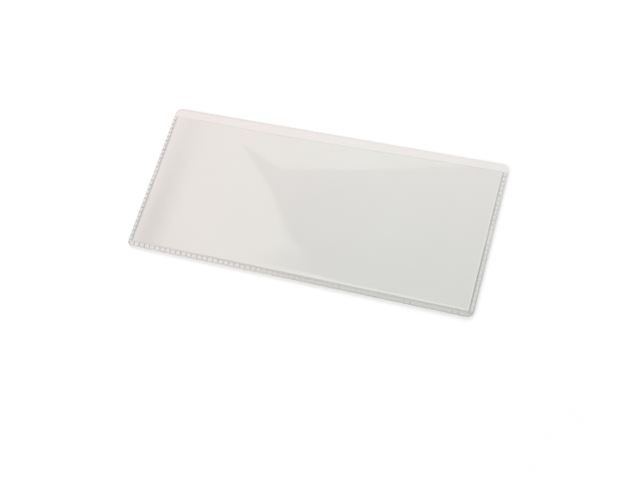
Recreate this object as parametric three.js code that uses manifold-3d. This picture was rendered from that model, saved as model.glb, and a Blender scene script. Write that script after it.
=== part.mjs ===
// Magnetic document pocket: a clear front film welded on three sides to a white back sheet,
// open along its top edge, with two flexible magnet strips taped to the back.
//
// Millimetres. +X runs along the pocket, +Y towards its open mouth, +Z up out of the clear front.
// The pocket lies on its magnets, and the origin is under its middle, on the surface it lies on.

import * as THREE from "three";
import { mergeVertices } from "three/addons/utils/BufferGeometryUtils.js";
import Module from "manifold-3d";

// Outline of the pocket
const pocketLength = 230;
const pocketHeight = 104;
const cornerRadius = 4;

// Sheets
const backThickness = 0.4;
const filmThickness = 0.25;

// Lip above the mouth: the film's cut edge slants a little, and dips left of the middle
const leftLipHeight = 6.3;
const rightLipHeight = 5.6;
const mouthDip = 1.2;
const mouthDipFromLeft = 77;

// Weld along the left, bottom and right edges
const trimWidth = 0.7;
const bottomPadLength = 2.1;
const sidePadLength = 1.5;
const innerLineWidth = 0.8;
const weldedThickness = 0.15;
const padRise = 0.2;
const padEdgeSlope = 0.12;
const padGap = 0.8;
const bottomPitch = 3.73;
const sidePitch = 3.38;
const padSlant = THREE.MathUtils.degToRad(8);

// Slack of the film over the back sheet: a short bend at the weld and a long swell behind it
const bendRise = 0.2;
const bendRun = 1.6;
const swellRise = 0.25;
const swellRun = 20;

// Magnet strips and their tape
const magnetLength = 210;
const magnetWidth = 15;
const magnetThickness = 1.0;
const magnetEdgeInset = 6;
const tapeSideInset = 0.5;
const tapeThickness = 0.15;

// Facets
const cornerSegments = 8;
const bendSteps = 4;
const swellSteps = 7;
const middleSteps = 8;

// Places that follow from the sizes
const left = -pocketLength / 2;
const right = pocketLength / 2;
const bottom = -pocketHeight / 2;
const top = pocketHeight / 2;
const dipPlace = left + mouthDipFromLeft;
const tapeBase = magnetThickness;
const backBase = tapeBase + tapeThickness;
const filmBase = backBase + backThickness;
const padBase = filmBase + weldedThickness;
const bottomWeld = trimWidth + bottomPadLength + innerLineWidth;
const sideWeld = trimWidth + sidePadLength + innerLineWidth;
const cuttingMargin = 1;

const wasm = await Module();
wasm.setup();

// The closed solid that a geometry encloses, for cutting and joining.
function solidFrom(geometry) {
  const bare = geometry.clone();
  bare.deleteAttribute("normal");
  bare.deleteAttribute("uv");
  const merged = mergeVertices(bare, 1e-5);
  return new wasm.Manifold(
    new wasm.Mesh({
      numProp: 3,
      vertProperties: new Float32Array(merged.attributes.position.array),
      triVerts: new Uint32Array(merged.index.array),
    }),
  );
}

// The geometry of a solid, with one flat normal for each facet.
function geometryFrom(solid) {
  const mesh = solid.getMesh();
  const geometry = new THREE.BufferGeometry();
  geometry.setAttribute("position", new THREE.BufferAttribute(new Float32Array(mesh.vertProperties), 3));
  geometry.setIndex(new THREE.BufferAttribute(new Uint32Array(mesh.triVerts), 1));
  const faceted = geometry.toNonIndexed();
  faceted.computeVertexNormals();
  return faceted;
}

// A plate with round corners: the pocket's outline, drawn in by an inset.
function roundedPlate(inset, thickness, base) {
  const radius = cornerRadius - inset;
  const outline = new THREE.Shape();
  outline.absarc(right - cornerRadius, top - cornerRadius, radius, 0, Math.PI / 2);
  outline.absarc(left + cornerRadius, top - cornerRadius, radius, Math.PI / 2, Math.PI);
  outline.absarc(left + cornerRadius, bottom + cornerRadius, radius, Math.PI, 1.5 * Math.PI);
  outline.absarc(right - cornerRadius, bottom + cornerRadius, radius, 1.5 * Math.PI, 2 * Math.PI);
  outline.closePath();
  const options = { depth: thickness, bevelEnabled: false, curveSegments: cornerSegments };
  return new THREE.ExtrudeGeometry(outline, options).translate(0, 0, base);
}

// How far the film has risen, from 0 at the weld to 1 at the end of the run.
function rise(distance, run) {
  return Math.sin((Math.PI / 2) * THREE.MathUtils.clamp(distance / run, 0, 1));
}

// Height of the film's inner face over the back sheet.
function slack(x, y) {
  const fromSide = pocketLength / 2 - sideWeld - Math.abs(x);
  const fromBottom = y - (bottom + bottomWeld);
  const bend = rise(fromSide, bendRun) * rise(fromBottom, bendRun);
  const swell = rise(fromSide, swellRun) * rise(fromBottom, swellRun);
  return bendRise * bend + swellRise * swell;
}

// Place along Y of the film's mouth: straight from end to end, but for one long dip.
function mouthAt(x) {
  const lipHeight = THREE.MathUtils.lerp(leftLipHeight, rightLipHeight, (x - left) / pocketLength);
  const reach = x < dipPlace ? dipPlace - left : right - dipPlace;
  const dip = (mouthDip / 2) * (1 + Math.cos((Math.PI * (x - dipPlace)) / reach));
  return top - lipHeight - dip;
}

// Distances from an edge at which the film is given a row of facets: the edge itself, the weld's
// inner line, a few along the bend, and then wider steps along the swell.
function facetRows(weld) {
  const rows = [0];
  for (let i = 0; i < bendSteps; i += 1) {
    rows.push(weld + (bendRun * i) / bendSteps);
  }
  for (let i = 0; i <= swellSteps; i += 1) {
    rows.push(weld + bendRun + (swellRun - bendRun) * (i / swellSteps) ** 1.4);
  }
  return rows;
}

// Places along X of the film's facets, from the left edge to the right one.
function filmColumns() {
  const near = facetRows(sideWeld);
  const inner = near[near.length - 1];
  const span = pocketLength - 2 * inner;
  const middle = [];
  for (let i = 1; i < middleSteps; i += 1) {
    middle.push(left + inner + (span * i) / middleSteps);
  }
  return [...near.map((d) => left + d), ...middle, ...near.map((d) => right - d).reverse()];
}

// The clear film before its ribs: flat where it is welded, and lifted off the back sheet inside. Its
// rows of facets run along the bottom weld, and the last one ends at the mouth.
function plainFilm() {
  const columns = filmColumns();
  const rows = facetRows(bottomWeld).map((d) => bottom + d);
  const sheet = new THREE.BoxGeometry(1, 1, 1, columns.length - 1, rows.length, 1);
  const place = sheet.attributes.position;
  for (let i = 0; i < place.count; i += 1) {
    const x = columns[Math.round((place.getX(i) + 0.5) * (columns.length - 1))];
    const row = Math.round((place.getY(i) + 0.5) * rows.length);
    const y = row < rows.length ? rows[row] : mouthAt(x);
    const lift = slack(x, y);
    const thickness = lift > 0 ? filmThickness : weldedThickness;
    const outer = place.getZ(i) > 0;
    place.setXYZ(i, x, y, filmBase + lift + (outer ? thickness : 0));
  }
  return sheet;
}

// One raised pad of the weld, lying across a seam that runs along X. Its foot is sunk into the
// welded film, and its four sides lean in.
function weldPad(pitch, length) {
  const sunk = weldedThickness / 2;
  const pad = new THREE.BoxGeometry(pitch - padGap, length, padRise + sunk);
  const place = pad.attributes.position;
  for (let i = 0; i < place.count; i += 1) {
    if (place.getZ(i) > 0) {
      place.setX(i, place.getX(i) - Math.sign(place.getX(i)) * padEdgeSlope);
      place.setY(i, place.getY(i) - Math.sign(place.getY(i)) * padEdgeSlope);
    }
  }
  pad.applyMatrix4(new THREE.Matrix4().makeShear(0, 0, -Math.tan(padSlant), 0, 0, 0));
  return pad.translate(0, 0, padBase + (padRise - sunk) / 2);
}

// The pads of the bottom seam, as many whole pitches as fit between the trims.
function bottomPads() {
  const count = Math.floor((pocketLength - 2 * trimWidth) / bottomPitch);
  const y = bottom + trimWidth + bottomPadLength / 2;
  const pads = [];
  for (let i = 0; i < count; i += 1) {
    const x = (i - (count - 1) / 2) * bottomPitch;
    pads.push(solidFrom(weldPad(bottomPitch, bottomPadLength).translate(x, y, 0)));
  }
  return pads;
}

// The pads of one side seam, stacked from the bottom seam up to the film's mouth.
function sidePads(side) {
  const first = bottom + bottomWeld;
  const x = side * (pocketLength / 2 - trimWidth - sidePadLength / 2);
  const count = Math.floor((mouthAt(x) - first) / sidePitch);
  const pads = [];
  for (let i = 0; i < count; i += 1) {
    const y = first + (i + 0.5) * sidePitch;
    const pad = weldPad(sidePitch, sidePadLength).rotateZ((-side * Math.PI) / 2);
    pads.push(solidFrom(pad.translate(x, y, 0)));
  }
  return pads;
}

// The front film with its weld: the sheet is cut to the pocket's round corners, and the pads to
// the line that runs just inside its trim.
function frontFilm() {
  const reach = bendRise + swellRise + filmThickness + padRise;
  const outline = solidFrom(roundedPlate(0, reach + 2 * cuttingMargin, filmBase - cuttingMargin));
  const padOutline = solidFrom(roundedPlate(trimWidth, reach + cuttingMargin, filmBase));
  const sheet = solidFrom(plainFilm()).intersect(outline);
  const pads = wasm.Manifold.union([...bottomPads(), ...sidePads(-1), ...sidePads(1)]);
  return geometryFrom(sheet.add(pads.intersect(padOutline)));
}

// The white back sheet, one flat plate as large as the pocket.
function backSheet() {
  return roundedPlate(0, backThickness, backBase);
}

// Middle of a magnet strip across the pocket: side 1 is behind the mouth, -1 behind the bottom seam.
function stripMiddle(side) {
  return side * (pocketHeight / 2 - magnetEdgeInset - magnetWidth / 2);
}

// A flexible magnet strip, cut square from the roll.
function magnetStrip(side) {
  const strip = new THREE.BoxGeometry(magnetLength, magnetWidth, magnetThickness);
  return strip.translate(0, stripMiddle(side), magnetThickness / 2);
}

// The double-sided tape between a magnet strip and the back sheet.
function adhesiveTape(side) {
  const length = magnetLength - 2 * tapeSideInset;
  const width = magnetWidth - 2 * tapeSideInset;
  const tape = new THREE.BoxGeometry(length, width, tapeThickness);
  return tape.translate(0, stripMiddle(side), tapeBase + tapeThickness / 2);
}

const clearFilm = new THREE.MeshStandardMaterial({
  color: 0xf0eeea,
  roughness: 0.08,
  metalness: 0,
  transparent: true,
  opacity: 0.3,
});
const whiteSheet = new THREE.MeshStandardMaterial({ color: 0xeee8e3, roughness: 0.5, metalness: 0 });
const magnetRubber = new THREE.MeshStandardMaterial({ color: 0x3a3430, roughness: 0.75, metalness: 0 });
const tapeFoam = new THREE.MeshStandardMaterial({ color: 0xe2ddd2, roughness: 0.6, metalness: 0 });

function piece(name, geometry, material) {
  const mesh = new THREE.Mesh(geometry, material);
  mesh.name = name;
  return mesh;
}

const pocket = new THREE.Group();
pocket.add(piece("back_sheet", backSheet(), whiteSheet));
pocket.add(piece("front_film", frontFilm(), clearFilm));
for (const [name, side] of [["top", 1], ["bottom", -1]]) {
  pocket.add(piece(`magnet_strip_${name}`, magnetStrip(side), magnetRubber));
  pocket.add(piece(`adhesive_tape_${name}`, adhesiveTape(side), tapeFoam));
}

export default pocket;
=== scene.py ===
# %% [markdown]
# A magnetic document pocket, dressed for its picture. The solids of the pocket come packed from
# CAD: a white back sheet, a clear front film welded to it, two magnet strips and the tape that
# holds them. This lesson gives each of them the surface that the real one has. Everything stays in
# the CAD frame, in metres, so a piece is simply made where its solid is.

# %% Load the frame
import math
import bmesh
import bpy
from mathutils import Matrix, Vector


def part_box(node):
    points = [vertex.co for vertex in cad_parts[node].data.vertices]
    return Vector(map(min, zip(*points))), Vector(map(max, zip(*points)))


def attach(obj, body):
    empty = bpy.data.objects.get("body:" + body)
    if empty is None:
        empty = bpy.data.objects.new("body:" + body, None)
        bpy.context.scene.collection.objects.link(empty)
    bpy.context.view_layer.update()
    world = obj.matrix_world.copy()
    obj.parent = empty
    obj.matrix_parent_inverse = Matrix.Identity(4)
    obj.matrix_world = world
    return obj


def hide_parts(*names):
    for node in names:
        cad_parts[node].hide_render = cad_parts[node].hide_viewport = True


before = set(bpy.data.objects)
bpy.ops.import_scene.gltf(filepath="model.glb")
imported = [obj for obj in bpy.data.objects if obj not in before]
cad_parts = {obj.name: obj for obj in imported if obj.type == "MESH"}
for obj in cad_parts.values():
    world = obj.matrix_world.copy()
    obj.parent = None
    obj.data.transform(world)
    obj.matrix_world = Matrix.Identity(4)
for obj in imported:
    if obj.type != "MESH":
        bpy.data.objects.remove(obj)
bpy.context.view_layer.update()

# %% [markdown]
# The sizes. What the frame can say is read from it: where each sheet and strip begins and ends. The
# weld is pressed into the film, so its widths can't be read from a box. Nor can the film's cut edge
# at the mouth, which slants a little and dips. Such sizes are written here once, and everything
# about the weld and the mouth follows from them. Lengths that differ by less than TINY are equal.

# %% Sizes of the pocket
MM = 0.001
TINY = 1e-7
BACK_LOW, BACK_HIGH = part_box("back_sheet")
FILM_LOW, FILM_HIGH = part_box("front_film")
CORNER_RADIUS = 4.0 * MM
FILM_THICKNESS = 0.25 * MM
WELDED_THICKNESS = 0.15 * MM
MOUTH = FILM_HIGH.y
MOUTH_SLANT = 0.7 * MM
MOUTH_DIP, DIP_PLACE = 1.2 * MM, BACK_LOW.x + 77 * MM

TRIM = 0.7 * MM
PAD_RISE = 0.2 * MM
PAD_GAP = 0.8 * MM
PAD_SLOPE = 0.12 * MM
PAD_SLANT = math.radians(8)
INNER_LINE = 0.8 * MM
BOTTOM_PAD, BOTTOM_PITCH = 2.1 * MM, 3.73 * MM
SIDE_PAD, SIDE_PITCH = 1.5 * MM, 3.38 * MM
SIDE_WELD = BACK_HIGH.x - TRIM - SIDE_PAD - INNER_LINE
BOTTOM_WELD = BACK_LOW.y + TRIM + BOTTOM_PAD + INNER_LINE
print("free film", round(2 * SIDE_WELD / MM, 1), "x", round((MOUTH - BOTTOM_WELD) / MM, 1), "mm")

# %% [markdown]
# Both sheets are cut from roll stock by one press tool, so they share an outline: a rectangle with
# four round corners. It could be drawn point by point, but a single face whose corners are beveled
# gives true arcs from one number, the corner radius. Two more helpers serve every piece: one
# rounds its cut edges, and one makes an object of the finished mesh.

# %% A blank with round corners
CORNER_STEPS, EDGE_STEPS = 10, 3
WIDE_FACE = 10 * MM * MM
BORDER_SHARE = 0.25
SMOOTH_ANGLE = math.radians(35)


def rounded_blank(low, high, radius):
    """One flat face between two corners, seen from above, with its four corners rounded."""
    blank = bmesh.new()
    bmesh.ops.create_grid(blank, x_segments=1, y_segments=1, size=0.5)
    bmesh.ops.scale(blank, vec=(high.x - low.x, high.y - low.y, 1), verts=blank.verts)
    bmesh.ops.translate(blank, vec=((low + high) / 2).xy.to_3d(), verts=blank.verts)
    bmesh.ops.bevel(
        blank, geom=blank.verts[:], affect="VERTICES", offset=radius,
        segments=CORNER_STEPS, profile=0.5, material=-1,
    )
    return blank


def round_edges(mesh, edges, rounding):
    """Rounds edges. Wide faces get a narrow border, so that smooth shading leaves them flat."""
    bmesh.ops.bevel(
        mesh, geom=edges, affect="EDGES", offset=rounding,
        segments=EDGE_STEPS, profile=0.5, material=-1,
    )
    wide = [face for face in mesh.faces if face.calc_area() > WIDE_FACE]
    bmesh.ops.inset_individual(mesh, faces=wide, thickness=rounding * BORDER_SHARE)


def finished(mesh, name, body, replaced, material):
    """Turns a bmesh into a piece: its place stays in its mesh, and its object at the origin."""
    bmesh.ops.recalc_face_normals(mesh, faces=mesh.faces)
    data = bpy.data.meshes.new(name)
    mesh.to_mesh(data)
    mesh.free()
    data.shade_smooth()
    data.set_sharp_from_angle(angle=SMOOTH_ANGLE)
    data.materials.append(material)
    piece = bpy.data.objects.new(name, data)
    bpy.context.scene.collection.objects.link(piece)
    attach(piece, body)
    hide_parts(*replaced)
    data.calc_loop_triangles()
    print(name, len(data.vertices), "vertices", len(data.loop_triangles), "triangles")
    return piece


print("corners of", round(CORNER_RADIUS / MM, 1), "mm in", CORNER_STEPS, "steps")

# %% [markdown]
# Soft PVC isn't one flat colour. Its plasticiser and its calender rolls leave a faint cloudiness
# and a fine grain. Several finishes here need that, each at its own scale, so it is one node group
# with named inputs. It puts out values only. The shader stays in each material.

# %% A group for cloudiness and grain


def add_node(tree, kind, place, **settings):
    """A node of a kind at a place on the sheet, with its settings and input values."""
    node = tree.nodes.new(kind)
    node.location = place
    for key, value in settings.items():
        if key in node.inputs:
            node.inputs[key].default_value = value
        else:
            setattr(node, key, value)
    return node


def cloud_and_grain_group():
    """A group whose Cloud drifts slowly over the sheet, and whose Grain is fine and even."""
    group = bpy.data.node_groups.new("cloud and grain", "ShaderNodeTree")
    for name, value in (("Cloud scale", 20.0), ("Grain scale", 2000.0), ("Stretch", 1.0)):
        socket = group.interface.new_socket(name, in_out="INPUT", socket_type="NodeSocketFloat")
        socket.default_value = value
    for name in ("Cloud", "Grain"):
        group.interface.new_socket(name, in_out="OUTPUT", socket_type="NodeSocketFloat")
    entry = add_node(group, "NodeGroupInput", (-900, 0))
    leave = add_node(group, "NodeGroupOutput", (300, 0))
    where = add_node(group, "ShaderNodeTexCoord", (-900, -300))
    squeeze = add_node(group, "ShaderNodeCombineXYZ", (-700, -100), Y=1.0, Z=1.0)
    pulled = add_node(group, "ShaderNodeVectorMath", (-500, -200), operation="MULTIPLY")
    cloud = add_node(group, "ShaderNodeTexNoise", (-200, 150), Detail=3.0, Roughness=0.5)
    grain = add_node(group, "ShaderNodeTexNoise", (-200, -150), Detail=2.0, Roughness=0.6)
    group.links.new(entry.outputs["Stretch"], squeeze.inputs["X"])
    group.links.new(where.outputs["Object"], pulled.inputs[0])
    group.links.new(squeeze.outputs["Vector"], pulled.inputs[1])
    group.links.new(entry.outputs["Cloud scale"], cloud.inputs["Scale"])
    group.links.new(entry.outputs["Grain scale"], grain.inputs["Scale"])
    group.links.new(pulled.outputs["Vector"], cloud.inputs["Vector"])
    group.links.new(pulled.outputs["Vector"], grain.inputs["Vector"])
    group.links.new(cloud.outputs["Fac"], leave.inputs["Cloud"])
    group.links.new(grain.outputs["Fac"], leave.inputs["Grain"])
    return group


CLOUD_AND_GRAIN = cloud_and_grain_group()
print("group", CLOUD_AND_GRAIN.name, [item.name for item in CLOUD_AND_GRAIN.interface.items_tree])

# %% [markdown]
# The finishes. Each material is a Principled shader whose colour, roughness and normal are moved a
# little by the group. A colour is written as it is read off a picture, in sRGB, and turned to the
# linear values that the shader wants. A Mix node has sockets for every kind of value, so those for
# colours are picked by their number.

# %% Helpers for materials
COLOUR_A, COLOUR_B, COLOUR_RESULT = 6, 7, 2


def linear(red, green, blue):
    """A colour read off a screen, 0 to 255, as the shader's linear values."""
    def one(value):
        share = value / 255
        return share / 12.92 if share <= 0.04045 else ((share + 0.055) / 1.055) ** 2.4
    return (one(red), one(green), one(blue), 1.0)


def new_material(name, cloud_scale, grain_scale, stretch=1.0):
    """A material with its Principled shader and the cloud and grain of its surface."""
    material = bpy.data.materials.new(name)
    material.use_nodes = True
    tree = material.node_tree
    shader = tree.nodes["Principled BSDF"]
    texture = add_node(tree, "ShaderNodeGroup", (-900, 0), node_tree=CLOUD_AND_GRAIN)
    texture.inputs["Cloud scale"].default_value = cloud_scale
    texture.inputs["Grain scale"].default_value = grain_scale
    texture.inputs["Stretch"].default_value = stretch
    return material, tree, shader, texture


def mixed(tree, factor, dark, light, place):
    """A colour that goes from dark to light as the factor goes from 0 to 1."""
    mix = add_node(tree, "ShaderNodeMix", place, data_type="RGBA")
    tree.links.new(factor, mix.inputs["Factor"])
    for index, colour in ((COLOUR_A, dark), (COLOUR_B, light)):
        if isinstance(colour, bpy.types.NodeSocket):
            tree.links.new(colour, mix.inputs[index])
        else:
            mix.inputs[index].default_value = colour
    return mix.outputs[COLOUR_RESULT]


def ranged(tree, value, low, high, place, start=0.0, end=1.0):
    """A value moved from the range start to end into the range low to high."""
    node = add_node(tree, "ShaderNodeMapRange", place)
    tree.links.new(value, node.inputs["Value"])
    node.inputs["From Min"].default_value = start
    node.inputs["From Max"].default_value = end
    node.inputs["To Min"].default_value = low
    node.inputs["To Max"].default_value = high
    return node.outputs["Result"]


def bumped(tree, height, depth, strength, shader):
    """Feeds a height, in metres at full strength, to a shader's normal."""
    bump = add_node(tree, "ShaderNodeBump", (-250, -400), Strength=strength, Distance=depth)
    tree.links.new(height, bump.inputs["Height"])
    tree.links.new(bump.outputs["Normal"], shader.inputs["Normal"])


print("a middle grey of 128 is", round(linear(128, 128, 128)[0], 3), "to the shader")

# %% [markdown]
# The back sheet is opaque white soft PVC with a satin face. Its white is warm. A painted warm light
# makes it a touch pinker towards the left end, so its colour runs along X before the clouds are
# laid over it. A painted shade darkens the lip's rim a little, which the mesh carries as an
# attribute.

# %% White sheet
# The left colours are a painted warm light: a pinker white that fades out along X.
WARM_LIGHT_END = 40 * MM
WARM_LEFT_LIT, WARM_RIGHT = linear(241, 231, 229), linear(239, 236, 233)
CLOUDY_LEFT_LIT, CLOUDY_RIGHT = linear(239, 229, 226), linear(237, 234, 230)
# The rim colour is painted shade along the lip's edge.
RIM_SHADE, RIM_SHADE_COLOUR = "rim", linear(226, 217, 213)
SHEET_IOR = 1.5


def white_sheet():
    """Warm white soft PVC, satin, with faint clouds and a fine calendered grain."""
    material, tree, shader, texture = new_material(
        "white soft PVC", cloud_scale=28.0, grain_scale=2600.0
    )
    where = add_node(tree, "ShaderNodeTexCoord", (-1300, 300))
    split = add_node(tree, "ShaderNodeSeparateXYZ", (-1100, 300))
    tree.links.new(where.outputs["Object"], split.inputs["Vector"])
    along = ranged(tree, split.outputs["X"], 0.0, 1.0, (-900, 300), BACK_LOW.x, WARM_LIGHT_END)
    # Painted warm light: pinker at the left end, fading out along X.
    warm = mixed(tree, along, WARM_LEFT_LIT, WARM_RIGHT, (-700, 300))
    cloudy = mixed(tree, along, CLOUDY_LEFT_LIT, CLOUDY_RIGHT, (-700, 100))
    even = mixed(tree, texture.outputs["Cloud"], cloudy, warm, (-450, 200))
    # Painted shade along the lip's rim, carried by the rim attribute.
    rim = add_node(tree, "ShaderNodeAttribute", (-450, 400), attribute_name=RIM_SHADE)
    colour = mixed(tree, rim.outputs["Fac"], even, RIM_SHADE_COLOUR, (-250, 200))
    tree.links.new(colour, shader.inputs["Base Color"])
    rough = ranged(tree, texture.outputs["Grain"], low=0.42, high=0.56, place=(-450, -150))
    tree.links.new(rough, shader.inputs["Roughness"])
    shader.inputs["IOR"].default_value = SHEET_IOR
    bumped(tree, texture.outputs["Grain"], depth=0.02 * MM, strength=0.35, shader=shader)
    return material


WHITE_SHEET = white_sheet()
print("made", WHITE_SHEET.name)

# %% [markdown]
# The front film is clear soft PVC: glass to the shader, a trace of green in its depth, and smooth
# enough to mirror what is above it crisply. Where it is welded to the white sheet its colour also
# carries painted shade and painted reflection: its pressed lines, gaps and trim are painted greyer
# than the free film, and its raised pads are painted clearer, a painted highlight. The mesh carries
# that as an attribute, from 0 on the clearest pad, over a little on the free film, to 1 where the
# painted shade is deepest.

# %% Clear film
# The weld's grey is painted shade and painted reflection, mixed into the film's colour.
WELD_SHADE, WELD_SHADE_GREY = "weld", (0.48, 0.505, 0.51, 1)
THICK_TINT, THIN_TINT = (0.960, 0.986, 0.977, 1), (0.973, 0.999, 0.990, 1)
FILM_ROUGHNESS, FILM_IOR = 0.03, 1.54


def clear_film():
    """Clear soft PVC, smooth, with painted shade that greys it where the weld is pressed in."""
    material, tree, shader, texture = new_material(
        "clear soft PVC", cloud_scale=60.0, grain_scale=420.0
    )
    weld = add_node(tree, "ShaderNodeAttribute", (-900, 300), attribute_name=WELD_SHADE)
    clear = mixed(tree, texture.outputs["Cloud"], THICK_TINT, THIN_TINT, (-650, 100))
    # Painted shade: the weld attribute greys the film, with a painted highlight where it is lowest.
    colour = mixed(tree, weld.outputs["Fac"], clear, WELD_SHADE_GREY, (-400, 200))
    tree.links.new(colour, shader.inputs["Base Color"])
    shader.inputs["Roughness"].default_value = FILM_ROUGHNESS
    shader.inputs["IOR"].default_value = FILM_IOR
    shader.inputs["Transmission Weight"].default_value = 1.0
    bumped(tree, texture.outputs["Grain"], depth=0.004 * MM, strength=0.2, shader=shader)
    return material


CLEAR_FILM = clear_film()
print("made", CLEAR_FILM.name)

# %% [markdown]
# The magnet strips are ferrite powder in rubber, extruded and cut from a roll: nearly black, matt,
# with faint lines along their length. The tape under them is off-white.

# %% Magnet rubber and tape
RUBBER_DARK, RUBBER_LIGHT = linear(44, 38, 34), linear(70, 62, 56)
TAPE_DARK, TAPE_LIGHT = linear(214, 206, 188), linear(226, 220, 205)


def magnet_rubber():
    """Dark brown ferrite rubber, matt, with extrusion lines along X."""
    material, tree, shader, texture = new_material(
        "magnet rubber", cloud_scale=90.0, grain_scale=1500.0, stretch=0.04
    )
    colour = mixed(tree, texture.outputs["Grain"], RUBBER_DARK, RUBBER_LIGHT, (-450, 200))
    tree.links.new(colour, shader.inputs["Base Color"])
    rough = ranged(tree, texture.outputs["Cloud"], low=0.6, high=0.8, place=(-450, -150))
    tree.links.new(rough, shader.inputs["Roughness"])
    bumped(tree, texture.outputs["Grain"], depth=0.05 * MM, strength=0.5, shader=shader)
    return material


def tape_adhesive():
    """Off-white double-sided tape, with a slight gloss."""
    material, tree, shader, texture = new_material("tape", cloud_scale=150.0, grain_scale=3000.0)
    colour = mixed(tree, texture.outputs["Cloud"], TAPE_DARK, TAPE_LIGHT, (-450, 200))
    tree.links.new(colour, shader.inputs["Base Color"])
    rough = ranged(tree, texture.outputs["Grain"], low=0.35, high=0.55, place=(-450, -150))
    tree.links.new(rough, shader.inputs["Roughness"])
    return material


MAGNET_RUBBER = magnet_rubber()
TAPE = tape_adhesive()
print("made", MAGNET_RUBBER.name, "and", TAPE.name)

# %% [markdown]
# The back sheet. The real one is a blank cut with a heated rule, which rolls its edge over a
# little. The blank is extruded to the sheet's thickness and its two rims are beveled. A ring of
# faces along the rim then lets a painted shade on the lip's rim fade inwards. This painted shade
# runs round the two upper corners, deeper at the left end, and stops just short of where they meet
# the straight sides.

# %% Model the back sheet
RIM_ROUNDING = 0.15 * MM
RIM_WIDTH = 2.0 * MM
# The rim's painted shade at the left end and at the right end.
RIM_LEFT, RIM_RIGHT = 0.8, 0.15
RIM_END = BACK_HIGH.y - 0.98 * CORNER_RADIUS


def shade_rim(sheet):
    """Parts a ring from the front face, and paints shade on the lip's rim, deeper at the left."""
    shade = sheet.verts.layers.float.new(RIM_SHADE)
    front_and_back = sorted(sheet.faces, key=lambda face: face.calc_area())[-2:]
    front = max(front_and_back, key=lambda face: face.calc_center_median().z)
    bmesh.ops.inset_individual(sheet, faces=[front], thickness=RIM_WIDTH)
    inner = set(front.verts)
    for vert in sheet.verts:
        if vert not in inner and vert.co.y > RIM_END:
            share = (vert.co.x - BACK_LOW.x) / (BACK_HIGH.x - BACK_LOW.x)
            vert[shade] = RIM_LEFT + (RIM_RIGHT - RIM_LEFT) * share


def back_sheet():
    """The white sheet with its rims rolled over."""
    sheet = rounded_blank(BACK_LOW, BACK_HIGH, CORNER_RADIUS)
    bmesh.ops.translate(sheet, vec=(0, 0, BACK_LOW.z), verts=sheet.verts)
    grown = bmesh.ops.extrude_face_region(sheet, geom=sheet.faces[:])["geom"]
    raised = [part for part in grown if isinstance(part, bmesh.types.BMVert)]
    bmesh.ops.translate(sheet, vec=(0, 0, BACK_HIGH.z - BACK_LOW.z), verts=raised)
    rims = [edge for edge in sheet.edges if abs(edge.verts[0].co.z - edge.verts[1].co.z) < TINY]
    round_edges(sheet, rims, RIM_ROUNDING)
    shade_rim(sheet)
    finished(sheet, "white_back_sheet", "root", ["back_sheet"], WHITE_SHEET)


back_sheet()

# %% [markdown]
# The front film, and the weld that gives the pocket its look. A press tool with a toothed edge
# melts the film to the back sheet along three sides and leaves a row of small pads, a thin trim
# outside them and a pressed line inside them. The pads could be separate blocks laid on the film,
# but then light would meet faces inside the plastic. So the film stays one skin: its blank is inset
# for the trim, cut by planes along the weld and between the pads, and each pad's face is inset and
# raised.

# %% The blank, cut along the weld
PAD_TOP_BOTTOM = BOTTOM_WELD - INNER_LINE
PAD_TOP_SIDE = SIDE_WELD + INNER_LINE
TRIM_LINE = BACK_HIGH.x - TRIM
TRIM_BOTTOM = BACK_LOW.y + TRIM


def cut(mesh, faces, point, normal, **clear):
    """Cuts some faces of a mesh along a plane."""
    edges = {edge for face in faces for edge in face.edges}
    verts = {vert for face in faces for vert in face.verts}
    bmesh.ops.bisect_plane(
        mesh, geom=[*faces, *edges, *verts], dist=TINY, plane_co=point, plane_no=normal, **clear
    )


def faces_within(mesh, x_low, x_high, y_low, y_high):
    """The faces whose middle lies between these places."""
    found = []
    for face in mesh.faces:
        middle = face.calc_center_median()
        if x_low < middle.x < x_high and y_low < middle.y < y_high:
            found.append(face)
    return found


def film_blank():
    """The film's blank: the pocket's outline up to the mouth, with the weld's lines cut into it."""
    film = rounded_blank(BACK_LOW, BACK_HIGH, CORNER_RADIUS)
    bmesh.ops.inset_region(
        film, faces=film.faces[:], thickness=TRIM, use_boundary=True, use_even_offset=True
    )
    cut(film, film.faces[:], (0, MOUTH, 0), (0, 1, 0), clear_outer=True)
    inside = faces_within(film, -TRIM_LINE, TRIM_LINE, TRIM_BOTTOM, MOUTH)
    for y in (PAD_TOP_BOTTOM, BOTTOM_WELD):
        cut(film, inside, (0, y, 0), (0, 1, 0))
        inside = faces_within(film, -TRIM_LINE, TRIM_LINE, y, MOUTH)
    for side in (-1, 1):
        for x in (PAD_TOP_SIDE, SIDE_WELD):
            cut(film, faces_within(film, -x, x, BOTTOM_WELD, MOUTH), (side * x, 0, 0), (1, 0, 0))
    return film


print("pads between", [round(v / MM, 1) for v in (TRIM_LINE, PAD_TOP_SIDE)], "mm from the middle")

# %% Teeth of the press tool
PAD_SHARE = 0.8


def pad_places(first, last, pitch, centred):
    """Middles of the pads along a seam, as many whole pitches as fit."""
    count = math.floor((last - first) / pitch)
    start = (first + last - (count - 1) * pitch) / 2 if centred else first + pitch / 2
    return [start + i * pitch for i in range(count)]


def press_bottom_seam(film):
    """Cuts the pads of the bottom seam, and returns their faces."""
    places = pad_places(-TRIM_LINE, TRIM_LINE, BOTTOM_PITCH, centred=True)
    seam = (-TRIM_LINE, TRIM_LINE, TRIM_BOTTOM, PAD_TOP_BOTTOM)
    half = (BOTTOM_PITCH - PAD_GAP) / 2
    middle = (TRIM_BOTTOM + PAD_TOP_BOTTOM) / 2
    lean = (1, math.tan(PAD_SLANT), 0)
    for x in places:
        for edge in (x - half, x + half):
            near = []
            for face in faces_within(film, *seam):
                if any(abs(vert.co.x - edge) < BOTTOM_PITCH for vert in face.verts):
                    near.append(face)
            cut(film, near, (edge, middle, 0), lean)
    pads = []
    for face in faces_within(film, *seam):
        if any(abs(face.calc_center_median().x - x) < half * PAD_SHARE for x in places):
            pads.append(face)
    return pads


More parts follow.
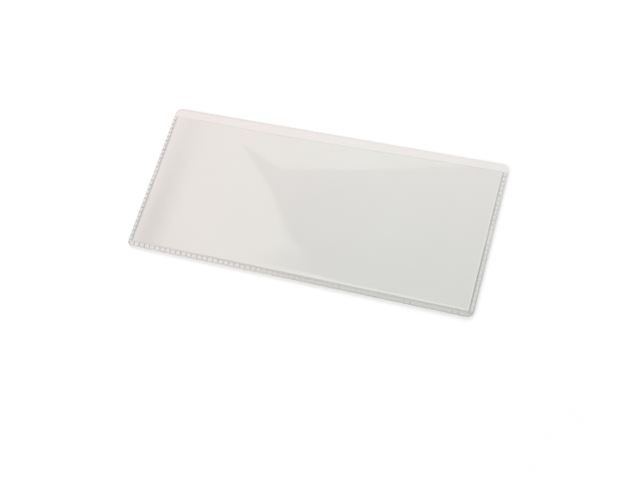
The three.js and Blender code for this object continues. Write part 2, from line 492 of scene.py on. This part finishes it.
def press_side_seam(film, side):
    """Cuts the pads of one side seam, and returns their faces."""
    places = pad_places(BOTTOM_WELD, MOUTH, SIDE_PITCH, centred=False)
    x_low, x_high = sorted((side * PAD_TOP_SIDE, side * TRIM_LINE))
    seam = (x_low, x_high, BOTTOM_WELD, MOUTH)
    half = (SIDE_PITCH - PAD_GAP) / 2
    middle = (x_low + x_high) / 2
    lean = (-math.tan(PAD_SLANT), 1, 0)
    for y in places:
        for edge in (y - half, y + half):
            cut(film, faces_within(film, *seam), (middle, edge, 0), lean)
    pads = []
    for face in faces_within(film, *seam):
        if any(abs(face.calc_center_median().y - y) < half * PAD_SHARE for y in places):
            pads.append(face)
    return pads


print("pads at a side", len(pad_places(BOTTOM_WELD, MOUTH, SIDE_PITCH, centred=False)))

# %% [markdown]
# The free film isn't flat. It bends up right behind the weld and then swells gently off the back
# sheet, and that bends whatever it mirrors. The lift is a formula of the distance from the weld.
# The film gets rows of faces close together along the bend and wider ones in the middle. Its blank
# is cut straight at the mouth, and its last rows are then drawn down to the real cut edge.

# %% Slack and mouth of the film
BEND_RISE, BEND_RUN = 0.2 * MM, 1.6 * MM
SWELL_RISE, SWELL_RUN = 0.25 * MM, 20 * MM
FINE_ROWS = 8
WIDE_STEP = 2.0 * MM
MOUTH_LINE = 0.7 * MM
MOUTH_DRAW = 20 * MM


def rise(distance, run):
    """From 0 at the weld to 1 at the end of the run."""
    return math.sin(math.pi / 2 * min(max(distance / run, 0.0), 1.0))


def slack(x, y):
    """Height of the film's inner face over the back sheet."""
    from_side = SIDE_WELD - abs(x)
    from_bottom = y - BOTTOM_WELD
    bend = rise(from_side, BEND_RUN) * rise(from_bottom, BEND_RUN)
    swell = rise(from_side, SWELL_RUN) * rise(from_bottom, SWELL_RUN)
    return BEND_RISE * bend + SWELL_RISE * swell


def drawn_down(x, y):
    """How far a place near the mouth moves down, so that the film ends at its real cut edge."""
    reach = DIP_PLACE - BACK_LOW.x if x < DIP_PLACE else BACK_HIGH.x - DIP_PLACE
    dip = MOUTH_DIP / 2 * (1 + math.cos(math.pi * (x - DIP_PLACE) / reach))
    slant = MOUTH_SLANT * (BACK_HIGH.x - x) / (BACK_HIGH.x - BACK_LOW.x)
    return (slant + dip) * max(1 - (MOUTH - y) / MOUTH_DRAW, 0.0)


def row_distances(span):
    """Distances from a weld at which the free film is cut: fine along the bend, then wide."""
    fine = [BEND_RUN * i / FINE_ROWS for i in range(1, FINE_ROWS)]
    steps = math.ceil((span - BEND_RUN) / WIDE_STEP)
    return fine + [BEND_RUN + (span - BEND_RUN) * i / steps for i in range(steps)]


def cut_free_film(film):
    """Cuts the free film into the rows and columns that its lift and its cut edge need."""
    length = MOUTH - BOTTOM_WELD
    for distance in [*row_distances(length), length - MOUTH_LINE]:
        free = faces_within(film, -SIDE_WELD, SIDE_WELD, BOTTOM_WELD, MOUTH)
        cut(film, free, (0, BOTTOM_WELD + distance, 0), (0, 1, 0))
    for distance in row_distances(SIDE_WELD):
        for side in (-1, 1):
            free = faces_within(film, -SIDE_WELD, SIDE_WELD, BOTTOM_WELD, MOUTH)
            cut(film, free, (side * (SIDE_WELD - distance), 0, 0), (1, 0, 0))


print("slack in the middle", round(slack(0, 0) / MM, 2), "mm")

# %% [markdown]
# The weld's painted shade and painted highlight aren't alike all round. Along the bottom its pads,
# its trim and its inner line are painted greyer towards the right, and its gaps a little lighter,
# and the side lines grow fainter towards the mouth. Beside the left weld the film gets a soft band
# of painted shade, fading towards the mouth. A painted texture would need an unwrapped film, and
# its pixels would blur the narrow lines. A shade on each corner of each face keeps a line's edge
# sharp, so the film carries its shades that way.

# %% Shades of the weld
# Each shade is painted shade in the film's colour: lowest on a pad's painted highlight, a little on
# the free film, deepest in the weld's lines and gaps. The mouth gets a thin painted shade along the
# film's cut edge.
FREE_SHADE, MOUTH_SHADE = 0.1, 0.2
# Painted shade and painted highlight of the bottom seam at its left and right ends, and of the
# sides.
BOTTOM_LEFT_SHADES = {"line": 0.34, "gap": 0.88, "pad": 0.04, "trim": 0.2}
BOTTOM_RIGHT_SHADES = {"line": 0.72, "gap": 0.62, "pad": 0.6, "trim": 0.75}
LEFT_SHADES = {"line": 0.8, "line end": 0.28, "gap": 0.62, "pad": 0.0, "trim": 0.1}
RIGHT_SHADES = {"line": 0.97, "line end": 0.6, "gap": 0.35, "pad": 0.15, "trim": 0.2}
# Where the bottom seam's painted shades pass from the left end's to the right end's.
LINE_LEFT_END, LINE_RIGHT_START = -80 * MM, -45 * MM
PAD_LEFT_END, PAD_RIGHT_START = -60 * MM, 10 * MM
SHADE_FADE = 0.5 * MM
# A soft band of painted shade beside the left weld, fading towards the mouth.
LEFT_BAND_LOW, LEFT_BAND_HIGH = -103.5 * MM, -101.5 * MM
LEFT_BAND_OUTER_WIDTH, LEFT_BAND_INNER_WIDTH = 7.0 * MM, 10.0 * MM
LEFT_BAND_SHADE, LEFT_BAND_FADE = 0.24, 0.7


def smooth_step(value, start, end):
    """From 0 at start to 1 at end, level at both."""
    share = min(max((value - start) / (end - start), 0.0), 1.0)
    return share * share * (3 - 2 * share)


def left_band_shade(x, y):
    """The painted shade of a soft band beside the left weld, fading towards the mouth."""
    up = smooth_step(y, BOTTOM_WELD, MOUTH)
    off = x - (LEFT_BAND_LOW + (LEFT_BAND_HIGH - LEFT_BAND_LOW) * up)
    width = LEFT_BAND_OUTER_WIDTH if off < 0 else LEFT_BAND_INNER_WIDTH
    return LEFT_BAND_SHADE * (1 - LEFT_BAND_FADE * up) * math.exp(-((off / width) ** 2))


def weld_part(face):
    """The part of the film that a face belongs to."""
    middle = face.calc_center_median()
    if max(vert.co.z for vert in face.verts) > PAD_RISE / 2:
        return "pad"
    if abs(middle.x) > TRIM_LINE or middle.y < TRIM_BOTTOM:
        return "trim"
    inside = min(SIDE_WELD - abs(middle.x), middle.y - BOTTOM_WELD)
    if inside > 0:
        return "mouth" if middle.y > MOUTH - MOUTH_LINE else "free"
    return "line" if inside > -INNER_LINE else "gap"


def seam_shades(x, y):
    """The painted shades of the seam that a place belongs to: a side seam, or the bottom one."""
    if y > BOTTOM_WELD + SHADE_FADE:
        side = LEFT_SHADES if x < 0 else RIGHT_SHADES
        up = (y - BOTTOM_WELD) / (MOUTH - BOTTOM_WELD)
        return {**side, "line": side["line"] + (side["line end"] - side["line"]) * up}
    line_rightward = smooth_step(x, LINE_LEFT_END, LINE_RIGHT_START)
    pad_rightward = smooth_step(x, PAD_LEFT_END, PAD_RIGHT_START)
    shades = {}
    for name, leftmost in BOTTOM_LEFT_SHADES.items():
        rightward = line_rightward if name == "line" else pad_rightward
        shades[name] = leftmost + (BOTTOM_RIGHT_SHADES[name] - leftmost) * rightward
    return shades


def film_shade(part, x, y, height):
    """The painted shade at a corner of a face: most in the weld's lines and gaps."""
    shades = seam_shades(x, y)
    if part == "mouth":
        return MOUTH_SHADE
    if part == "free":
        inside = min(SIDE_WELD - abs(x), y - BOTTOM_WELD)
        by_weld = FREE_SHADE + (shades["line"] - FREE_SHADE) * max(1 - inside / SHADE_FADE, 0.0)
        return max(by_weld, FREE_SHADE + left_band_shade(x, y))
    if part == "pad" and height < PAD_RISE / 2:
        return shades["gap"]
    return shades[part]


for name, edge in (("left", BACK_LOW.x), ("right", BACK_HIGH.x)):
    print("shade of the", name, "line", round(seam_shades(edge, 0)["line"], 2))

# %% Model the front film
PAD_ROUNDING = 0.07 * MM
PAD_EDGE_STEPS = 2


def front_film():
    """The clear film: one closed skin with its weld pressed in and its slack lifted."""
    film = film_blank()
    pads = press_bottom_seam(film) + press_side_seam(film, -1) + press_side_seam(film, 1)
    print("pads", len(pads))
    bmesh.ops.inset_individual(film, faces=pads, thickness=PAD_SLOPE, depth=PAD_RISE)
    shoulders = {edge for face in pads for edge in face.edges}
    bmesh.ops.bevel(
        film, geom=list(shoulders), affect="EDGES", offset=PAD_ROUNDING,
        segments=PAD_EDGE_STEPS, profile=0.5, material=-1, clamp_overlap=True,
    )
    cut_free_film(film)
    # Each corner of the film carries the painted shade and painted highlight of the weld.
    shade = film.loops.layers.float.new(WELD_SHADE)
    for face in film.faces:
        part = weld_part(face)
        for corner in face.loops:
            corner[shade] = film_shade(part, *corner.vert.co)
    for vert in film.verts:
        vert.co.y -= drawn_down(vert.co.x, vert.co.y)
    inner = bmesh.ops.extrude_face_region(film, geom=film.faces[:])["geom"]
    inner = {part for part in inner if isinstance(part, bmesh.types.BMVert)}
    for vert in film.verts:
        lift = slack(vert.co.x, vert.co.y)
        if vert in inner:
            vert.co.z = FILM_LOW.z + lift
        else:
            thickness = FILM_THICKNESS if lift > 0 else WELDED_THICKNESS
            vert.co.z += FILM_LOW.z + lift + thickness
    piece = finished(film, "clear_front_film", "root", ["front_film"], CLEAR_FILM)
    piece.visible_shadow = False
    piece.visible_diffuse = False


front_film()

# %% [markdown]
# The magnet strips and their tape lie under the back sheet, where only the underside shows them. A
# strip is a box from its solid's corners, its cut edges broken by a small bevel.

# %% Model the magnet strips and tapes
STRIP_ROUNDING, TAPE_ROUNDING = 0.15 * MM, 0.03 * MM


def strip(node, name, rounding, material):
    """A strip in the place of its solid, with its edges broken."""
    low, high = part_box(node)
    block = bmesh.new()
    bmesh.ops.create_cube(block, size=1)
    bmesh.ops.scale(block, vec=high - low, verts=block.verts)
    bmesh.ops.translate(block, vec=(low + high) / 2, verts=block.verts)
    round_edges(block, block.edges[:], rounding)
    finished(block, name, "root", [node], material)


for end in ("top", "bottom"):
    strip(f"magnet_strip_{end}", f"{end}_magnet", STRIP_ROUNDING, MAGNET_RUBBER)
    strip(f"adhesive_tape_{end}", f"{end}_tape", TAPE_ROUNDING, TAPE)

# %% [markdown]
# The camera stands where the photographer's stood. Its angles and distance were solved from the
# pocket's four corners: it looks down steeply from the front right, and it is rolled.

# %% Camera
IMAGE_WIDTH = 640
FOCAL_PIXELS = 1042
SENSOR_WIDTH = 36.0
NEAREST_SEEN = 0.01
CAMERA_AZIMUTH, CAMERA_ELEVATION, CAMERA_ROLL = 38.41, 64.78, -24.30
CAMERA_DISTANCE = 658.97 * MM
CAMERA_TARGET = Vector((10.35 * MM, -22.36 * MM, BACK_HIGH.z))


def photo_camera():
    """The camera of the photograph."""
    lens = bpy.data.cameras.new("photo camera")
    lens.sensor_width = SENSOR_WIDTH
    lens.lens = FOCAL_PIXELS / IMAGE_WIDTH * SENSOR_WIDTH
    lens.clip_start = NEAREST_SEEN
    camera = bpy.data.objects.new("photo camera", lens)
    bpy.context.scene.collection.objects.link(camera)
    turn = Matrix.Rotation(math.radians(CAMERA_AZIMUTH), 3, "Z")
    turn @= Matrix.Rotation(math.radians(90 - CAMERA_ELEVATION), 3, "X")
    turn @= Matrix.Rotation(math.radians(CAMERA_ROLL), 3, "Z")
    camera.location = CAMERA_TARGET + turn.col[2] * CAMERA_DISTANCE
    camera.rotation_euler = turn.to_euler()
    bpy.context.scene.camera = camera
    print("camera at", [round(v, 4) for v in camera.location], "lens", round(lens.lens, 2))
    return camera


CAMERA = photo_camera()

# %% [markdown]
# The studio: a pale floor, white all round, two large soft lamps, and a dark flag above the pocket.
# The weaker lamp stands in front, where it lights the near edges and keeps the shadow under them
# faint. The floor is paint that also glows a little, because a floor lit by the lamps alone would
# turn grey further out. Close to the pocket it glows less, or a view from low down would lose the
# pocket's underside in white.

# %% Floor
FLOOR_HALF = 3.0
FLOOR_PAINT = (0.9, 0.9, 0.9, 1)
NEAR, FAR = 0.2, 1.2
NEAR_GLOW, FAR_GLOW = 0.18, 0.45


def floor_material():
    """Near-white floor that glows a little, and more further out, where the lamps don't reach.

    It is white where no shadow falls. Its back face is open, so that the underside can be seen.
    """
    material = bpy.data.materials.new("studio floor")
    material.use_nodes = True
    tree = material.node_tree
    tree.nodes.remove(tree.nodes["Principled BSDF"])
    out = tree.nodes["Material Output"]
    paint = add_node(tree, "ShaderNodeBsdfDiffuse", (-200, 100), Color=FLOOR_PAINT)
    where = add_node(tree, "ShaderNodeTexCoord", (-800, -100))
    distance = add_node(tree, "ShaderNodeVectorMath", (-600, -100), operation="LENGTH")
    tree.links.new(where.outputs["Object"], distance.inputs[0])
    level = ranged(tree, distance.outputs["Value"], NEAR_GLOW, FAR_GLOW, (-400, -100), NEAR, FAR)
    glow = add_node(tree, "ShaderNodeEmission", (-200, -100))
    tree.links.new(level, glow.inputs["Strength"])
    both = add_node(tree, "ShaderNodeAddShader", (100, 50))
    side = add_node(tree, "ShaderNodeNewGeometry", (100, 300))
    nothing = add_node(tree, "ShaderNodeBsdfTransparent", (100, -150))
    faced = add_node(tree, "ShaderNodeMixShader", (300, 50))
    tree.links.new(paint.outputs[0], both.inputs[0])
    tree.links.new(glow.outputs[0], both.inputs[1])
    tree.links.new(side.outputs["Backfacing"], faced.inputs["Fac"])
    tree.links.new(both.outputs[0], faced.inputs[1])
    tree.links.new(nothing.outputs[0], faced.inputs[2])
    tree.links.new(faced.outputs[0], out.inputs["Surface"])
    return material


def stage_piece(name, faces, material):
    """A stage piece of flat faces, each given by its points."""
    shape = bmesh.new()
    for points in faces:
        shape.faces.new([shape.verts.new(point) for point in points])
    data = bpy.data.meshes.new(name)
    shape.to_mesh(data)
    shape.free()
    data.materials.append(material)
    piece = bpy.data.objects.new(name, data)
    bpy.context.scene.collection.objects.link(piece)
    return piece


FLOOR_SIGNS = ((-1, -1), (1, -1), (1, 1), (-1, 1))
FLOOR_CORNERS = [(x * FLOOR_HALF, y * FLOOR_HALF, 0) for x, y in FLOOR_SIGNS]
stage_piece("studio_floor", [FLOOR_CORNERS], floor_material())
print("floor", FLOOR_CORNERS)

# %% [markdown]
# The flag is a stage hand's tool. The clear film mirrors it, so its edges draw the two slanting
# borders that cross the film in the photo. Its corners are found by following the camera's rays off
# the flat film, up to the height at which the flag hangs. The photo's upper border is sharp and its
# left one grows soft towards the bottom, so the flag's left edge is a strip that turns to white.
# The borders are given as places on the film, in millimetres, and the soft one with half its width.

# %% Dark flag
FLAG_HEIGHT = 0.6
FLAG_LIGHT = "light"
MIRRORED_WHITE = (1.06, 1.0, 0.95, 1)
CLOTH_DARK, CLOTH_LIT = (0.0, 0.0, 0.0, 1), (0.62, 0.50, 0.58, 1)
DARK_PLACE, LIT_PLACE = -40 * MM, 45 * MM
SOFT_BORDER = [
    (-61, 33.5, 0.5), (-33, 7, 1.5), (-20.5, -10, 3), (-14.5, -18.8, 4),
    (-8, -27, 5), (-3, -36, 11), (-8, -45, 19), (-10, -60, 24),
]
SHARP_BORDER = [
    (180, -110), (180, 62), (115, 50.5), (77, 43.4), (46.7, 35.8), (16, 29), (-29, 20.6),
]


def mirrored(x, y):
    """Where the camera looks in the flag's plane, by way of the flat film at a place on it."""
    spot = Vector((x, y, FILM_HIGH.z))
    ray = spot - CAMERA.location
    ray.z = -ray.z
    return spot + ray * ((FLAG_HEIGHT - spot.z) / ray.z)


def flag_material():
    """Dark cloth that gives back a little light, more of it at the end near the lamp."""
    material = bpy.data.materials.new("flag cloth")
    material.use_nodes = True
    tree = material.node_tree
    tree.nodes.remove(tree.nodes["Principled BSDF"])
    where = add_node(tree, "ShaderNodeTexCoord", (-1100, 0))
    split = add_node(tree, "ShaderNodeSeparateXYZ", (-900, 0))
    tree.links.new(where.outputs["Object"], split.inputs["Vector"])
    far, near = mirrored(0, DARK_PLACE).y, mirrored(0, LIT_PLACE).y
    nearness = ranged(tree, split.outputs["Y"], 0.0, 1.0, (-700, 0), far, near)
    cloth = mixed(tree, nearness, CLOTH_DARK, CLOTH_LIT, (-500, 0))
    light = add_node(tree, "ShaderNodeAttribute", (-500, 250), attribute_name=FLAG_LIGHT)
    colour = mixed(tree, light.outputs["Fac"], cloth, MIRRORED_WHITE, (-300, 0))
    glow = add_node(tree, "ShaderNodeEmission", (-100, 0))
    tree.links.new(colour, glow.inputs["Color"])
    tree.links.new(glow.outputs[0], tree.nodes["Material Output"].inputs["Surface"])
    return material


def flag_faces():
    """The flag as it is mirrored in the film: its dark face, and the strip where it turns to white.

    Each point is a place on the film in millimetres, and how light the flag is there.
    """
    dark = [(x + half, y, 0.0) for x, y, half in SOFT_BORDER]
    faces = [dark + [(x, y, 0.0) for x, y in SHARP_BORDER]]
    light = [(x - half, y, 1.0) for x, y, half in SOFT_BORDER]
    for i in range(len(SOFT_BORDER) - 1):
        faces.append([light[i], light[i + 1], dark[i + 1], dark[i]])
    return faces


def flag():
    """The flag in its place above the pocket, seen only in mirrors and through clear things."""
    faces = flag_faces()
    places = [[mirrored(x * MM, y * MM) for x, y, light in face] for face in faces]
    piece = stage_piece("flag", places, flag_material())
    shade = piece.data.attributes.new(FLAG_LIGHT, "FLOAT", "POINT")
    shade.data.foreach_set("value", [light for face in faces for x, y, light in face])
    piece.visible_camera = False
    piece.visible_diffuse = False
    piece.visible_shadow = False
    return piece


FLAG = flag()
print("flag of", len(FLAG.data.polygons), "faces at", FLAG_HEIGHT, "m")

# %% [markdown]
# The world and the lamps. A plain white world would do for a matt object, but the film mirrors it,
# and the photo's film shows a warmer white. So the world answers each kind of ray in its own way:
# white to the camera and through the film, warm to mirrors, and a soft fill to everything else.

# %% World and lamps
FILL, WHITE = 0.6, (1, 1, 1, 1)
KEY_PLACE, KEY_SIZE, KEY_POWER = Vector((-0.34, 1.32, 1.02)), 1.2, 12.0
FRONT_PLACE, FRONT_SIZE, FRONT_POWER = Vector((-0.95, -1.05, 1.0)), 1.2, 8.0


def studio_world():
    """White to the eye, a warmer white to mirrors, and a soft fill to everything else."""
    world = bpy.data.worlds.new("studio")
    world.use_nodes = True
    tree = world.node_tree
    back = tree.nodes["Background"]
    path = add_node(tree, "ShaderNodeLightPath", (-900, 0))
    seen = add_node(tree, "ShaderNodeMath", (-650, 0), operation="MAXIMUM")
    sight = add_node(tree, "ShaderNodeMath", (-450, 0), operation="MAXIMUM")
    tree.links.new(path.outputs["Is Camera Ray"], seen.inputs[0])
    tree.links.new(path.outputs["Is Glossy Ray"], seen.inputs[1])
    tree.links.new(seen.outputs[0], sight.inputs[0])
    tree.links.new(path.outputs["Is Transmission Ray"], sight.inputs[1])
    strength = ranged(tree, sight.outputs[0], FILL, 1.0, (-250, 0))
    tree.links.new(strength, back.inputs["Strength"])
    colour = mixed(tree, path.outputs["Is Glossy Ray"], WHITE, MIRRORED_WHITE, (-250, 200))
    tree.links.new(colour, back.inputs["Color"])
    bpy.context.scene.world = world


def soft_lamp(name, place, size, power):
    """A large soft lamp that faces the pocket."""
    light = bpy.data.lights.new(name, "AREA")
    light.size = size
    light.energy = power
    lamp = bpy.data.objects.new(name, light)
    bpy.context.scene.collection.objects.link(lamp)
    lamp.location = place
    lamp.rotation_euler = (-place).to_track_quat("-Z", "Y").to_euler()
    lamp.visible_camera = False
    return lamp


studio_world()
KEY = soft_lamp("key", KEY_PLACE, KEY_SIZE, KEY_POWER)
FRONT = soft_lamp("front", FRONT_PLACE, FRONT_SIZE, FRONT_POWER)
bpy.context.scene.view_settings.view_transform = "Standard"
print("fill", FILL, "key", KEY.data.energy, "front", FRONT.data.energy)
